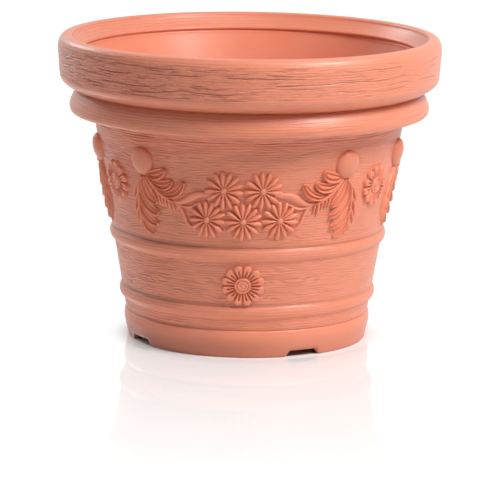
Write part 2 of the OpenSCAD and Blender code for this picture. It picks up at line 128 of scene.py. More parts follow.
def spaced(points, spacing):
    # evenly spaced points along a run, with both ends kept
    points = np.array(points, float)
    along = np.concatenate([[0], np.cumsum(np.hypot(*np.diff(points, axis=0).T))])
    at = np.linspace(0, along[-1], max(1, round(along[-1] / spacing)) + 1)
    return list(zip(np.interp(at, along, points[:, 0]), np.interp(at, along, points[:, 1])))


def joined(*runs):
    # one outline from runs that follow each other, without double points
    outline = []
    for point in (p for run in runs for p in run):
        if not outline or math.dist(outline[-1], point) > 0.02:
            outline.append((float(point[0]), float(point[1])))
    return outline


# Meshes and objects
def meshFrom(bm, name):
    mesh = bpy.data.meshes.new(name)
    bm.to_mesh(mesh)
    bm.free()
    return mesh


def newObject(name, data):
    made = bpy.data.objects.new(name, data)
    bpy.context.scene.collection.objects.link(made)
    return made


def finishMesh(bm, name, material, slot, body, *nodes):
    return finishPiece(meshFrom(bm, name), name, material, slot, body, *nodes)


def finishPiece(mesh, name, material, slot, body, *nodes):
    mesh.polygons.foreach_set("use_smooth", [True] * len(mesh.polygons))
    mesh.materials.append(material)
    piece = newObject(name, mesh)
    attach(piece, body)
    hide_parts(*nodes)
    return piece


def lathe(outline, steps, sectors, closed=True):
    # an outline spun through one sector, whose copies go round the upright axis
    bm = bmesh.new()
    verts = [bm.verts.new((r * mm, 0, z * mm)) for r, z in outline]
    pairs = list(zip(verts, verts[1:] + verts[:1]))
    edges = [bm.edges.new(pair) for pair in (pairs if closed else pairs[:-1])]
    bmesh.ops.spin(bm, geom=verts + edges, cent=(0, 0, 0), axis=(0, 0, 1),
                   angle=math.tau / sectors, steps=steps)
    bmesh.ops.spin(bm, geom=bm.verts[:] + bm.edges[:] + bm.faces[:], cent=(0, 0, 0), axis=(0, 0, 1),
                   angle=math.tau * (sectors - 1) / sectors, steps=sectors - 1, use_duplicate=True)
    bmesh.ops.remove_doubles(bm, verts=bm.verts, dist=0.01 * mm)
    bmesh.ops.recalc_face_normals(bm, faces=bm.faces)
    return bm


def darken(bm, middle, below, above, share):
    # painted shade on both sides of a crease, most on the worn and shaded side
    shadeLayer = bm.verts.layers.float.get("groove") or bm.verts.layers.float.new("groove")
    for vert in bm.verts:
        lift = vert.co.z / mm - middle
        near = smoothed(1.4 * (1 - abs(lift) / (above if lift > 0 else below)))
        vert[shadeLayer] = max(vert[shadeLayer], share * near * shadeShareAt(vert, "creaseShade"))


def roughen(bm, relief):
    # pushes each point away from the axis; relief takes and gives millimetres
    shadeLayer = bm.verts.layers.float.new("groove")
    for vert in bm.verts:
        x, y, z = vert.co / mm
        radius = math.hypot(x, y)
        push = relief(x, y, z, radius)
        if push:
            vert.co += Vector((x, y, 0)) * (push / radius * mm)
            # painted shade: the deeper the groove, the darker its colour
            vert[shadeLayer] = min(max(-push / wearAndShade["grooveShadeDepth"], 0), 1)
    return bm


def disc(radius, low, high, holes, sides=160, holeSides=48):
    # a flat round floor with round holes, filled between their edges and given its thickness
    bm = bmesh.new()
    rings = [(0, 0, radius, sides)] + [(*place, hole, holeSides) for place, hole in holes]
    for x, y, size, segments in rings:
        bmesh.ops.create_circle(bm, segments=segments, radius=size * mm,
                                matrix=Matrix.Translation((x * mm, y * mm, high * mm)))
    bmesh.ops.triangle_fill(bm, use_beauty=True, edges=bm.edges[:], normal=(0, 0, 1))
    made = bmesh.ops.extrude_face_region(bm, geom=bm.faces[:], use_keep_orig=True)
    under = [g for g in made["geom"] if isinstance(g, bmesh.types.BMVert)]
    bmesh.ops.translate(bm, verts=under, vec=(0, 0, (low - high) * mm))
    bmesh.ops.recalc_face_normals(bm, faces=bm.faces)
    return bm


# Material nodes: sums and products of wires add Math nodes
class Wire:
    def __init__(self, tree, socket=None):
        self.tree = tree
        self.socket = socket

    def node(self, kind, settings=None, inputs=None, output=0):
        made = self.tree.nodes.new(kind)
        for key, value in (settings or {}).items():
            if key == "stops":
                ramp = made.color_ramp
                ramp.elements[0].position, ramp.elements[0].color = value[0]
                ramp.elements[1].position, ramp.elements[1].color = value[-1]
                for position, colour in value[1:-1]:
                    ramp.elements.new(position).color = colour
            else:
                setattr(made, key, value)
        for key, value in (inputs or {}).items():
            if isinstance(value, Wire):
                self.tree.links.new(value.socket, made.inputs[key])
            else:
                made.inputs[key].default_value = value
        return Wire(self.tree, made.outputs[output] if made.outputs else None)

    def maths(self, operation, a, b=0.0):
        return self.node("ShaderNodeMath", {"operation": operation}, {0: a, 1: b})

    def __add__(self, other):
        return self.maths("ADD", self, other)

    def __mul__(self, other):
        return self.maths("MULTIPLY", self, other)

    def __sub__(self, other):
        return self.maths("SUBTRACT", self, other)

    def __rsub__(self, other):
        return self.maths("SUBTRACT", other, self)

    __radd__ = __add__
    __rmul__ = __mul__

    def band(self, low, high):
        # 0 at low and below, 1 at high and above
        return self.node("ShaderNodeMapRange", {"interpolation_type": "SMOOTHSTEP"},
                         {"Value": self, "From Min": low, "From Max": high})

    def mixed(self, a, b):
        # the colour a where this is 0, b where it is 1
        return self.node("ShaderNodeMix", {"data_type": "RGBA"}, {0: self, 6: a, 7: b}, 2)


def startMaterial(name):
    material = bpy.data.materials.new(name)
    material.use_nodes = True
    material.node_tree.nodes.clear()
    return material, Wire(material.node_tree)


def stretched(start, scale):
    # object coordinates in millimetres, divided by a size each way
    place = start.node("ShaderNodeTexCoord", output="Object")
    return start.node("ShaderNodeMapping", None,
                      {"Vector": place, "Scale": tuple(1 / (s * mm) for s in scale)})


def cloud(start, size, detail=3.0, roughness=0.5):
    # soft noise of a size in millimetres each way
    size = size if isinstance(size, tuple) else (size,) * 3
    return start.node("ShaderNodeTexNoise", None,
                      {"Vector": stretched(start, size), "Scale": 1.0, "Detail": detail,
                       "Roughness": roughness})


# Terracotta-coloured resin: two close tones, a darker tone for painted shade in grooves, creases and
# hollows, a satin sheen
terracottaLook = {
    "tone": (0.77, 0.238, 0.134, 1),
    "toneLight": (0.81, 0.272, 0.158, 1),
    "toneShade": (0.30, 0.092, 0.052, 1),
    "mottle": 34,
    "speck": 2.2,
    "roughness": 0.46,
    "roughSpread": 0.10,
    "specular": 0.42,
    "coat": 0.22,
    "coatRoughness": 0.28,
    "bumpStrength": 0.35,
    "bumpHeight": 0.35,
    "streakSize": (26, 26, 1.5),
    "grainSize": 1.1,
    "rippleSize": (30, 30, 11.5),
    "rippleBend": 4.0,
    "rippleShade": 0.11,
}


def wearAndShadeHere(start):
    # how worn and how shaded the surface is, for a shader: wear along a line across the pot, which scales
    # the bumps and the painted shade
    place = start.node("ShaderNodeTexCoord", output="Object")
    turn = math.radians(wearAndShade["turn"])
    side = start.node("ShaderNodeVectorMath", {"operation": "DOT_PRODUCT"},
                      {0: place, 1: (math.sin(turn), -math.cos(turn), 0)}, 1)
    half = (wearAndShade["most"] - wearAndShade["least"]) / 2
    return side * (half / (rimRadius * mm)) + (wearAndShade["most"] + wearAndShade["least"]) / 2


def terracotta(name, streaks=0.0, grain=0.25, groove=0.0, sheen=0.0, ripples=0.0, gloss=1.0):
    look = terracottaLook
    material, start = startMaterial(name)
    mottle = cloud(start, look["mottle"], 4.0)
    speck = cloud(start, look["speck"], 3.0)
    lines = cloud(start, look["streakSize"], 4.0, 0.6)
    blend = mottle.band(0.30, 0.72) * 0.55 + speck.band(0.3, 0.7) * 0.25 + lines * (0.5 * streaks)
    colour = blend.mixed(look["tone"], look["toneLight"])
    if ripples:
        place = stretched(start, look["rippleSize"])
        ripple = start.node("ShaderNodeTexWave", {"wave_type": "BANDS", "bands_direction": "Z"},
                            {"Vector": place, "Scale": 1.0, "Distortion": look["rippleBend"], "Detail": 2.0,
                             "Detail Scale": 1.3, "Detail Roughness": 0.55}, 1)
        ripple = ripple.band(0.0, 0.7) * (0.35 + lines)
        share = wearAndShadeHere(start)
        # painted shade in the ripples' grooves, darkest on the worn and shaded side
        colour = ((1 - ripple) * share * look["rippleShade"]).mixed(colour, look["toneShade"])
    # painted shade: the groove attribute darkens creases, grooves and hollows towards the shade tone
    if groove:
        depth = start.node("ShaderNodeAttribute", {"attribute_name": "groove"}, output="Fac")
        colour = (depth * groove).mixed(colour, look["toneShade"])
    rough = look["roughness"] - sheen + (mottle - 0.5) * look["roughSpread"] + (speck - 0.5) * 0.08
    height = cloud(start, look["grainSize"], 4.0, 0.65) * grain + lines * (1.6 * streaks)
    if ripples:
        height = (height + ripple * ripples) * share
    bump = start.node("ShaderNodeBump", None, {"Height": height, "Strength": look["bumpStrength"],
                                               "Distance": look["bumpHeight"] * mm})
    shader = start.node("ShaderNodeBsdfPrincipled", None,
                        {"Base Color": colour, "Roughness": rough, "Normal": bump,
                         "Specular IOR Level": look["specular"], "Coat Weight": look["coat"] * gloss,
                         "Coat Roughness": look["coatRoughness"]})
    start.node("ShaderNodeOutputMaterial", None, {"Surface": shader})
    return material


# Brown rubber of the drain plugs, paler where dust lies on it
rubberLook = {
    "tone": (0.135, 0.045, 0.027, 1),
    "dusty": (0.175, 0.066, 0.042, 1),
    "dust": 9,
    "pores": 0.7,
    "roughness": 0.62,
    "roughSpread": 0.2,
    "bumpStrength": 0.4,
    "bumpHeight": 0.2,
}


def plugRubber(name):
    look = rubberLook
    material, start = startMaterial(name)
    dust = cloud(start, look["dust"], 4.0)
    pores = cloud(start, look["pores"], 3.0)
    colour = dust.band(0.35, 0.75).mixed(look["tone"], look["dusty"])
    rough = look["roughness"] + (dust - 0.5) * look["roughSpread"]
    bump = start.node("ShaderNodeBump", None, {"Height": pores, "Strength": look["bumpStrength"],
                                               "Distance": look["bumpHeight"] * mm})
    shader = start.node("ShaderNodeBsdfPrincipled", None,
                        {"Base Color": colour, "Roughness": rough, "Normal": bump})
    start.node("ShaderNodeOutputMaterial", None, {"Surface": shader})
    return material


streakedResin = terracotta("streaked_resin", streaks=0.6, grain=0.4, groove=0.35, ripples=2.6)
rimResin = terracotta("rim_resin", streaks=0.5, grain=1.0, groove=0.52, ripples=1.6, gloss=1.5)
smoothResin = terracotta("smooth_resin", grain=0.2, groove=1.0, sheen=0.03)
sprigResin = terracotta("sprig_resin", grain=0.22, groove=1.0, sheen=0.03)
linerResin = terracotta("liner_resin", grain=0.15, sheen=-0.06, gloss=0.65)
plugFinish = plugRubber("plug_rubber")
print("materials made")

# The tapering wall, which the hoops and the sprigs stand on
wall = {
    "lowZ": 36,
    "lowRadius": 159,
    "highZ": 296,
    "highRadius": 203.5,
    "thick": 4,
    "steps": 20,
    "lowerSectors": 23,
    "upperSectors": 20,
}
taper = (wall["highRadius"] - wall["lowRadius"]) / (wall["highZ"] - wall["lowZ"])
lean = math.degrees(math.atan(taper))


def wallRadius(z):
    return wall["lowRadius"] + taper * (z - wall["lowZ"])


def wallBack(top, bottom, spacing=12):
    # the hidden side of a stretch of the wall, downwards
    return spaced([(wallRadius(z) - wall["thick"], z) for z in (top, bottom)], spacing)


def wallFront(low, high, spacing=0.56):
    return spaced([(wallRadius(low), low), (wallRadius(high), high)], spacing)


# Hoops: arcs that stand out of the wall, square to it
hoops = {
    "low": 61,
    "high": 138,
    "width": 18,
    "proud": 4.5,
    "shade": (3.6, 5.0, 1.9),     # painted shade below and above the crease over a hoop, and its share
}


def hoopRun(z):
    half, proud = hoops["width"] / 2, hoops["proud"]
    radius = (half * half + proud * proud) / (2 * proud)
    swing = math.degrees(math.asin(half / radius))
    back = proud - radius
    centre = (wallRadius(z) + back * math.cos(math.radians(lean)), z - back * math.sin(math.radians(lean)))
    return spaced(arc(centre, radius, -lean - swing, -lean + swing), 0.9)


# Grain of the wall: wavy ridges that fork and close round each other, in patches
wallGrain = {
    "pitch": 3.3,
    "deep": 0.52,
    "sharp": 1.6,
    "wave": 2.5,
    "waveSize": (42, 13),     # of the long waves, round the pot and upwards
    "wobble": 0.45,
    "wobbleSize": (15, 6),
    "swellSize": (24, 5),
    "patchSize": (70, 30),
    "fineDeep": 0.07,
    "fineSize": (12, 0.9),
    "clear": 2.5,
    "calm": 0.25,             # what is left of the waves near the bead
    "calmTop": 286,
    "calmHeight": 22,
}


def grainDepth(x, y, z, waves):
    g = wallGrain
    drift = noiseAt(x, y, z, g["waveSize"])
    wobble = noiseAt(x, y, z, g["wobbleSize"], 4)
    turn = z / g["pitch"] + waves * (g["wave"] * drift + g["wobble"] * wobble)
    groove = (0.5 - 0.5 * math.cos(math.tau * turn)) ** g["sharp"]
    swell = noiseAt(x, y, z, g["swellSize"], 3)
    patch = noiseAt(x, y, z, g["patchSize"], 0, 5)
    strength = (0.25 + 0.75 * smoothed(0.5 + 1.3 * swell)) * (0.45 + 0.55 * smoothed(0.55 + 1.5 * patch))
    fine = noiseAt(x, y, z, g["fineSize"], 9)
    return (-g["deep"] * groove * strength + g["fineDeep"] * fine) * wear(x, y)


def wallRelief(low, high):
    # grain that fades towards the creases at both ends of a stretch
    g = wallGrain

    def relief(x, y, z, radius):
        if radius < wallRadius(z) - 1.5 or z <= low or z >= high:
            return 0
        fade = smoothed((z - low) / g["clear"]) * smoothed((high - z) / g["clear"])
        waves = g["calm"] + (1 - g["calm"]) * smoothed((g["calmTop"] - z) / g["calmHeight"])
        return grainDepth(x, y, z, waves) * fade

    return relief


# The foot: a base band that bulges, on a ring with four notches
foot = {
    "radius": 156,
    "edge": 2.5,
    # painted shade towards the floor, and its share
    "creaseShade": 0.7,
    "ringRadius": 147,
    "waist": (158.6, 12),
    "bandRadius": 161.2,
    "fullZ": 26,
    "topZ": 36,
    "floorZ": 12,
    "notchTurn": 30,
    "notchHalf": 26,
    "notchSide": 8,
    "notchHeight": 8,
    "steps": 30,
    "sectors": 30,
}


def raiseNotches(bm):
    # slides the points under the band up to the outline of the nearest notch
    quarter = 90
    for vert in bm.verts:
        x, y, z = vert.co / mm
        if z >= foot["floorZ"]:
            continue
        turn = math.degrees(math.atan2(x, -y)) - foot["notchTurn"]
        off = (turn + quarter / 2) % quarter - quarter / 2
        side = abs(math.radians(off)) * foot["radius"]
        lift = foot["notchHeight"] * smoothed((foot["notchHalf"] - side) / foot["notchSide"])
        vert.co.z = (lift + z * (1 - lift / foot["floorZ"])) * mm
    return bm


def makeFoot():
    f = foot
    outline = joined(
        spaced([(f["ringRadius"], 0), (f["radius"] - f["edge"], 0)], 2),
        arc((f["radius"] - f["edge"], f["edge"]), f["edge"], -90, 0, 6),
        spaced(curve((f["radius"], f["edge"]), f["waist"], (f["bandRadius"], f["fullZ"] - 1)), 0.8),
        spaced(curve((f["bandRadius"], f["fullZ"]), (f["bandRadius"], f["topZ"]),
                     (wallRadius(f["topZ"]), f["topZ"])), 0.8),
        wallBack(f["topZ"], linerBackZ, 8),
        spaced([(f["ringRadius"], f["floorZ"]), (f["ringRadius"], 0)], 1.5),
    )
    bm = raiseNotches(lathe(outline, f["steps"], f["sectors"]))
    # painted shade: the band darkens towards the floor, most on the shaded side
    darken(bm, 0, 1, f["topZ"], f["creaseShade"])
    shadeLayer = bm.verts.layers.float["groove"]
    # painted shade: the inside of the ring, seen through the notches, is dark all over
    for vert in bm.verts:
        inside = math.hypot(vert.co.x, vert.co.y) < (f["radius"] - 2 * f["edge"]) * mm
        if inside and vert.co.z < f["floorZ"] * mm:
            vert[shadeLayer] = 1
    finishMesh(bm, "foot_band", smoothResin, "shell", "pot", "outer_shell")


# Drain holes through both floors, and the plugs in them
drains = {
    "count": 4,
    "turn": 30,
    "circle": 98,
    "radius": 10,
    "stem": 9.85,
    "flange": 15.9,
    "flangeHeight": 2.9,
    "bottom": 10,
    "rounding": 1.2,
    "steps": 16,
    "sectors": 4,
}
drainPlaces = []
for drainNumber in range(drains["count"]):
    drainTurn = math.radians(drains["turn"] + 360 / drains["count"] * drainNumber)
    drainPlaces.append((drains["circle"] * math.sin(drainTurn), -drains["circle"] * math.cos(drainTurn)))
drainHoles = [(place, drains["radius"]) for place in drainPlaces]


def makePlugs():
    d = drains
    seat = linerBackZ + liner["wall"]
    top = seat + d["flangeHeight"]
    edge = d["rounding"]
    outline = joined(
        [(0, d["bottom"]), (d["stem"] - edge, d["bottom"])],
        arc((d["stem"] - edge, d["bottom"] + edge), edge, -90, 0, 6),
        [(d["stem"], seat), (d["flange"] - 0.5, seat)],
        arc((d["flange"] - edge, top - edge), edge, 0, 90, 6),
        curve((d["flange"] - 3.5, top), (d["flange"] - 4.2, top - 0.1), (d["flange"] - 4.8, top - 0.9), 5),
        curve((d["flange"] - 5.2, top - 0.9), (6, top - 1.0), (5, top - 0.9), 6),
        curve((4.6, top - 0.8), (4.0, top - 0.1), (2.6, top - 0.05), 6),
        [(0, top)],
    )
    for number, place in enumerate(drainPlaces, 1):
        bm = lathe(outline, d["steps"], d["sectors"], closed=False)
        bmesh.ops.translate(bm, verts=bm.verts, vec=(place[0] * mm, place[1] * mm, 0))
        node = f"drain_plug_{number}"
        finishMesh(bm, f"plug_{number}", plugFinish, "plug", node, node)


def makeFloors():
    under = disc(foot["ringRadius"] + 0.5, foot["floorZ"], linerBackZ, drainHoles)
    finishMesh(under, "shell_floor", smoothResin, "shell", "pot", "outer_shell").data.shade_flat()
    over = disc(liner["floorRadius"], linerBackZ, linerBackZ + liner["wall"], drainHoles)
    finishMesh(over, "liner_floor", linerResin, "liner", "pot", "inner_liner").data.shade_flat()


# The wall below the garland, with both hoops, and the wall that the garland lies on
def makeWalls():
    half = hoops["width"] / 2
    creases = [hoops["low"] - half, hoops["low"] + half, hoops["high"] - half, hoops["high"] + half]
    lower = joined(
        wallFront(wall["lowZ"], creases[0]), hoopRun(hoops["low"]),
        wallFront(creases[1], creases[2]), hoopRun(hoops["high"]),
        wallBack(creases[3], wall["lowZ"]),
    )
    bm = lathe(lower, wall["steps"], wall["lowerSectors"])
    between = [wallRelief(wall["lowZ"], creases[0]), wallRelief(creases[1], creases[2])]
    roughen(bm, lambda x, y, z, radius: sum(relief(x, y, z, radius) for relief in between))
    # painted shade in the creases over the base band and the hoops
    for crease in (wall["lowZ"], creases[1], creases[3]):
        darken(bm, crease, *hoops["shade"])
    finishMesh(bm, "lower_wall", streakedResin, "shell", "pot", "outer_shell")

    upper = joined(wallFront(creases[3], neckZ, 0.6), wallBack(neckZ, creases[3]))
    bm = lathe(upper, wall["steps"], wall["upperSectors"])
    roughen(bm, wallRelief(creases[3], neckZ + wallGrain["clear"]))
    # painted shade in the crease over the upper hoop
    darken(bm, creases[3], *hoops["shade"])
    finishMesh(bm, "garland_wall", streakedResin, "shell", "pot", "outer_shell")


# The bead under the rim band, and the cove that leads to it
bead = {
    "radius": 234.8,
    "cove": 11,
    "fold": 6.5,
    "rounding": 9,
    "creaseZ": potHeight - 70.5,
    "creaseDepth": 10.5,
    "shoulder": (232.6, 317.5),
    "lineDeep": 0.16,
    "lineSize": (60, 1.1),
    "waveSize": (30, 5),
    "neckGrain": 1.4,             # the wall's grain under the cove, against the rest of it
    "creaseShade": (17, 4, 0.85),        # painted shade below and above the crease over the bead, and its share
    "steps": 20,
    "sectors": 23,
}
neckZ = wall["highZ"] - bead["cove"]      # where the cove starts


def beadRelief(x, y, z, radius):
    b = bead
    if z < wall["highZ"]:
        if radius < wallRadius(z) - 1:
            return 0
        return b["neckGrain"] * grainDepth(x, y, z, wallGrain["calm"]) * smoothed((wall["highZ"] - z) / 6)
    if radius < b["radius"] - 3 or z > b["creaseZ"] - 1:
        return 0
    line = noiseAt(x, y, z, b["lineSize"])
    wave = noiseAt(x, y, z, b["waveSize"])
    fade = smoothed((z - wall["highZ"] - 2) / 4) * smoothed((b["creaseZ"] - z) / 4)
    return -b["lineDeep"] * fade * (smoothed((line + 0.05) / 0.4) + 0.5 * wave)


def makeBead():
    b = bead
    low, top, back = wall["highZ"], b["creaseZ"], wall["thick"]
    crease = b["radius"] - b["creaseDepth"]
    outline = joined(
        spaced(curve((wallRadius(neckZ), neckZ), (wallRadius(low), low),
                     (wallRadius(low) + b["cove"], low)), 0.6),
        spaced([(wallRadius(low) + b["cove"], low), (b["radius"] - b["fold"], low)], 1.5),
        spaced(curve((b["radius"] - b["fold"], low), (b["radius"], low),
                     (b["radius"], low + b["rounding"])), 0.5),
        spaced(curve((b["radius"], low + b["rounding"] + 1), b["shoulder"], (crease, top)), 0.7),
        [(crease - back, top)],
        spaced([(b["radius"] - back - 3, b["shoulder"][1]), (b["radius"] - back, low + b["rounding"])], 5),
        [(b["radius"] - back - 5, low + back), (wallRadius(low) + b["cove"], low + back)],
        [(wallRadius(neckZ) - back, neckZ)],
    )
    bm = roughen(lathe(outline, b["steps"], b["sectors"]), beadRelief)
    # painted shade in the crease between the bead and the rim
    darken(bm, top, *b["creaseShade"])
    finishMesh(bm, "bead", rimResin, "shell", "pot", "outer_shell")


# The rolled rim: a tall face with cracks and pits, a roll, and an inner slope down to the lip
rim = {
    "rounding": 17,
    "faceLean": 2.8,
    "slopeHeight": 17,
    "slopeBend": 7,
    "slopeLean": 5,
    "rollRounding": 12,
    "rollWidth": 18.5,
    "rollDrop": 4.5,
    "lipRadius": 219,
    "lipRound": 3,
    "lipLand": 5,
    "cracks": {"pitch": 6.6, "length": 52, "start": 0.12, "half": 0.42, "deep": 1.0},
    "dashes": {"pitch": 2.9, "length": 24, "start": 0.40, "half": 0.42, "deep": 0.7},
    "wornMore": 0.34,     # the share of lines that wear adds
    "bends": [(2.6, (70, 25)), (0.9, (16, 8))],     # how far the lines rise and fall, and the bends' size
    "patchSize": (60, 30),
    "rippleDeep": 0.42,
    "rippleSize": (16, 1.5),
    "gritDeep": 0.42,
    "gritSize": (4, 2.4),
    "low": 344,
    "high": 388,
    "skin": 14,           # how far in the face's own texture reaches
    "innerBend": (5.2, 7.6),
    # painted shade below and above the crease under the rim, and its share
    "creaseShade": (4, 4, 0.6),
    "steps": 24,
    "sectors": 22,
}


def crackDepth(x, y, lift, c, more):
    # thin lines, one in each step of height, broken up along their length
    row = math.floor(lift / c["pitch"])
    long = c["length"]
    middle = row + 0.5 + 0.55 * noiseAt(x, y, row * 7.3, (1.4 * long, 1))
    seen = noiseAt(x, y, row * 3.7 + 50, (long, 1)) + more
    width = c["half"] * (0.75 + 0.5 * smoothed((seen - c["start"]) / 0.3))
    across = math.exp(-((lift - middle * c["pitch"]) / width) ** 2)
    return c["deep"] * across * smoothed((seen - c["start"]) / 0.12)


def rimRelief(x, y, z, radius):
    r = rim
    if radius < rimRadius - r["skin"]:
        return 0
    fade = smoothed((z - r["low"] + 3) / 8) * smoothed((r["high"] + 2 - z) / 6)
    if not fade:
        return 0
    lift = z + sum(bend * noiseAt(x, y, z, size) for bend, size in r["bends"])
    more = r["wornMore"] * (wearAndShadeShare(x, y) - 0.3)
    crack = crackDepth(x, y, lift, r["cracks"], more / 2)
    dash = crackDepth(x, y, lift + 1.5, r["dashes"], more)
    patch = smoothed(0.45 + 1.6 * noiseAt(x, y, z, r["patchSize"], 7))
    ripple = noiseAt(x, y, lift, r["rippleSize"]) * r["rippleDeep"] * (0.4 + 0.6 * patch)
    grit = noiseAt(x, y, z, r["gritSize"]) * r["gritDeep"] * wearAndShadeShare(x, y) ** 2
    return (ripple + grit - max(crack, dash)) * fade * wear(x, y)


def makeRim():
    r = rim
    top, low, back = potHeight, bead["creaseZ"], wall["thick"]
    crease = bead["radius"] - bead["creaseDepth"]
    lowZ, highZ = low + r["slopeHeight"], top - r["rounding"]
    slope = (rimRadius - r["rollWidth"], top - r["rollDrop"])
    lipCentre = (r["lipRadius"] + r["lipRound"], landZ + r["lipRound"])
    lipStart = arc(lipCentre, r["lipRound"], 135, 270, 12)
    face = joined(
        spaced(curve((crease, low), (rimRadius - r["slopeLean"], low + r["slopeBend"]),
                     (rimRadius - r["faceLean"], lowZ)), 0.9),
        spaced([(rimRadius - r["faceLean"], lowZ), (rimRadius, highZ)], 0.5),
        spaced(curve((rimRadius, highZ), (rimRadius, top), (rimRadius - r["rollRounding"], top)), 0.7),
        spaced(curve((rimRadius - r["rollRounding"], top), (rimRadius - r["rollWidth"], top), slope), 0.9),
        spaced(curve(slope, (slope[0] - r["innerBend"][0], slope[1] - r["innerBend"][1]), lipStart[0]), 1.2),
        lipStart,
        [(r["lipRadius"] + r["lipLand"], landZ)],
        [(rimRadius - r["skin"], top - back), (rimRadius - back, highZ)],
        [(rimRadius - back - r["faceLean"], lowZ)],
        [(crease + 1, low + back), (crease - back, low)],
    )
    bm = roughen(lathe(face, r["steps"], r["sectors"]), rimRelief)
    # painted shade in the crease under the rim
    darken(bm, low, *r["creaseShade"])
    finishMesh(bm, "rim", rimResin, "shell", "pot", "outer_shell")


# The liner: a smooth skin from its rounded floor up to the flange under the lip
liner = {
    "wall": 2.5,
    "gap": 2.5,
    "recess": 1.6,
    "flange": 7,
    "rounding": 10,
    "bend": 30,
    "floorRadius": 126,
    "steps": 15,
    "sectors": 20,
}


def linerRadius(z):
    return wallRadius(z) - wall["thick"] - liner["gap"] - liner["wall"]


def makeLiner():
    w = liner
    floorZ, thick = linerBackZ + w["wall"], w["wall"]
    turnZ, bendZ = floorZ + w["rounding"], neckZ + w["bend"]
    topRadius = rim["lipRadius"] + w["recess"]
    front = joined(
        [(w["floorRadius"], floorZ)],
        spaced(curve((linerRadius(floorZ) - w["rounding"], floorZ), (linerRadius(floorZ), floorZ),
                     (linerRadius(turnZ), turnZ)), 1.2),
        spaced([(linerRadius(turnZ), turnZ), (linerRadius(neckZ), neckZ)], 5),
        spaced(curve((linerRadius(neckZ), neckZ), (linerRadius(bendZ), bendZ),
                     (topRadius, landZ - thick)), 3),
        [(topRadius, landZ)],
    )
    back = [(topRadius + w["flange"], landZ), (topRadius + w["flange"], landZ - thick)]
    back += [(r + thick, z) for r, z in reversed(front[3:-1]) if z > turnZ + 1]
    back += [(linerRadius(linerBackZ + 12) + thick, linerBackZ + 12)]
    back += [(linerRadius(linerBackZ) - 8, linerBackZ), (w["floorRadius"], linerBackZ)]
    bm = lathe(joined(front, back), w["steps"], w["sectors"])
    finishMesh(bm, "liner_skin", linerResin, "liner", "pot", "inner_liner")


# Sprigs: a grid laid on the wall, raised by the heights of petals, lobes and stems.
# A place is [across, up] from the middle of a festoon or a rosette, in millimetres.
sprig = {
    "sink": 1.0,       # how deep the back lies in the wall
    "edge": 0.55,      # how far the front dips below the wall at its edge
    "grid": 0.6,
    "fineGrid": 0.55,
    "margin": 2.5,     # how far past its width a run is worked out
    "blend": 0.5,      # size of the fillet where two petals meet
    "lobeBlend": 0.3,
    "sprigShade": 0.5,      # painted shade in the low places between petals and lobes
    "sprigShadeHeight": 1.3,
}
garlandZ = (hoops["high"] + hoops["width"] / 2 + neckZ) / 2
bandZ = (hoops["low"] + hoops["high"]) / 2 - 2


def onWall(across, up, height, middle):
    z = middle + up
    radius = wallRadius(z) + height
    turn = across / wallRadius(middle)
    return Vector((radius * math.sin(turn) * mm, -radius * math.cos(turn) * mm, z * mm))


def smoothStops(stops, perSpan=7):
    # a smooth run through the stops, whose first two columns are the place
    s = np.array(stops, float)
    s = np.vstack([2 * s[0] - s[1], s, 2 * s[-1] - s[-2]])
    t = np.linspace(0, 1, perSpan, endpoint=False)[:, None]
    spans = []
    for a, b, c, d in zip(s, s[1:], s[2:], s[3:]):
        spans.append(b + 0.5 * t * (c - a + t * (2 * a - 5 * b + 4 * c - d + t * (3 * (b - c) + d - a))))
    return np.vstack(spans + [s[-2:-1]])


def reach(field, stops):
    # picks the grid points near a run, and gives each its share of the half width, above 0
    # to the left of the run, the run's half width and height there, and how far a point lies
    # past the run's end, in half widths
    path = smoothStops(stops)
    wide = path[:, 2].max() + sprig["margin"]
    low, high = path[:, :2].min(0) - wide, path[:, :2].max(0) + wide
    near = np.flatnonzero((field["u"] > low[0]) & (field["u"] < high[0])
                          & (field["v"] > low[1]) & (field["v"] < high[1]))
    u, v = field["u"][near], field["v"][near]
    best = np.full(u.shape, 1e9)
    left = np.ones(u.shape)
    rest = np.zeros((len(near), path.shape[1] - 2))
    for a, b in zip(path, path[1:]):
        way = b[:2] - a[:2]
        t = np.clip(((u - a[0]) * way[0] + (v - a[1]) * way[1]) / max(way @ way, 1e-9), 0, 1)
        here = a[2:] + t[:, None] * (b[2:] - a[2:])
        away = np.hypot(u - a[0] - t * way[0], v - a[1] - t * way[1]) / here[:, 0]
        closer = away < best
        best = np.where(closer, away, best)
        turned = np.sign(way[0] * (v - a[1]) - way[1] * (u - a[0]))
        left = np.where(closer, np.where(turned == 0, 1, turned), left)
        rest[closer] = here[closer]
    past = ((u - b[0]) * way[0] + (v - b[1]) * way[1]) / np.hypot(way[0], way[1]) / b[2]
    return near, best * left, rest, past


def raiseTo(field, near, height, blend):
    # keeps the higher of two reliefs, with a small fillet between them
    now = field["h"][near]
    gap = np.maximum(blend - np.abs(now - height), 0)
    field["h"][near] = np.maximum(now, height) + gap * gap / (4 * blend)


def crown(share, power=0.7):
    # 1 in the middle, 0 at the edge, falling away steeply outside
    return np.where(share < 1, np.maximum(1 - share * share, 0) ** power, 1.2 * (1 - share))


def petal(field, stops, blend=sprig["blend"]):
    near, share, rest = reach(field, stops)[:3]
    raiseTo(field, near, rest[:, 1] * crown(np.abs(share), 0.62), blend)


# Across a lobe, from its upper edge at -1 to its rim at 1: shares of its height
lobeShape = [[-1, 0], [-0.93, 0.34], [-0.8, 0.54], [-0.64, 0.4], [-0.42, 0.08], [-0.16, 0.5], [0.0, 0.72],
             [0.14, 0.6], [0.4, 0.1], [0.62, 0.66], [0.8, 1.0], [0.93, 0.72], [1, 0]]


